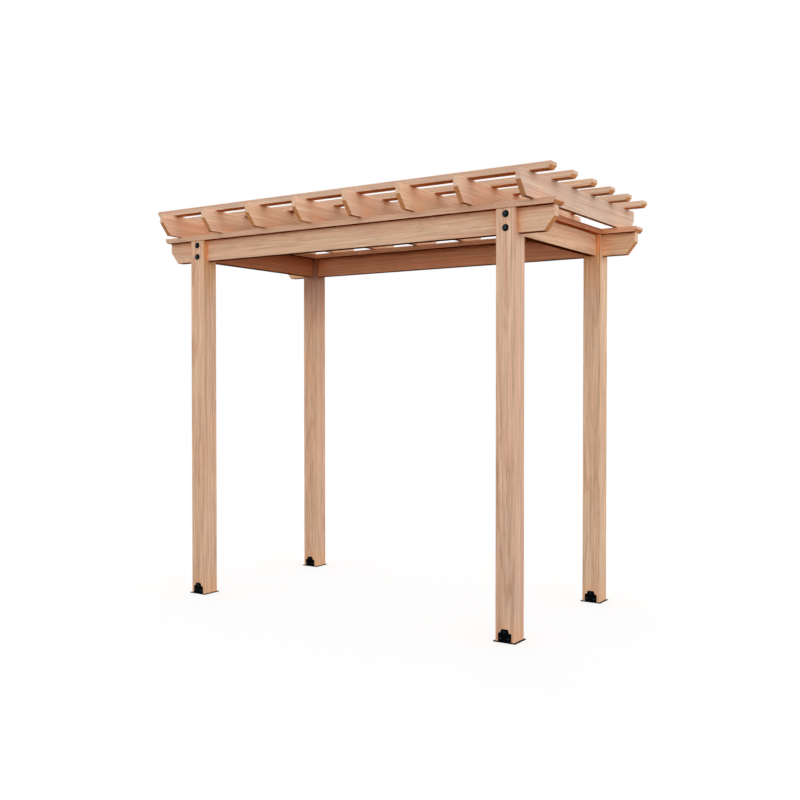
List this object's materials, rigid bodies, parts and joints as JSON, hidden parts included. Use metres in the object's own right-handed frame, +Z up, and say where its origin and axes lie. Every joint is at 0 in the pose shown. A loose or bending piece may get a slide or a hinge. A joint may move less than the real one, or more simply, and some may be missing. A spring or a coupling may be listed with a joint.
{
  "type": "wooden pergola",
  "caption": "Free-standing open timber pergola: forked posts on black steel bases carry beams, cap boards, joists with sloping ends and flat roof slats.",
  "frame": {"origin": "on the ground at the middle of the footprint", "axes": "+X along the length of the pergola to the right, +Y from front to rear, +Z up"},
  "size_m": [3.505, 1.994, 3.108],
  "materials": {
    "timber": "planed softwood, pinkish tan, bare",
    "black_steel": "black powder coat"
  },
  "bodies": {
    "root": {"front_left_post": "timber", "front_right_post": "timber", "rear_left_post": "timber", "rear_right_post": "timber", "front_left_base": "black_steel", "front_right_base": "black_steel", "rear_left_base": "black_steel", "rear_right_base": "black_steel", "front_beam": "timber", "rear_beam": "timber", "left_beam": "timber", "right_beam": "timber", "front_cap": "timber", "rear_cap": "timber", "left_cap": "timber", "right_cap": "timber", "joist_1": "timber", "joist_2": "timber", "joist_3": "timber", "joist_4": "timber", "joist_5": "timber", "joist_6": "timber", "joist_7": "timber", "joist_8": "timber", "slat_1": "timber", "slat_2": "timber", "slat_3": "timber", "slat_4": "timber", "slat_5": "timber", "slat_6": "timber"}
  },
  "joints": []
}
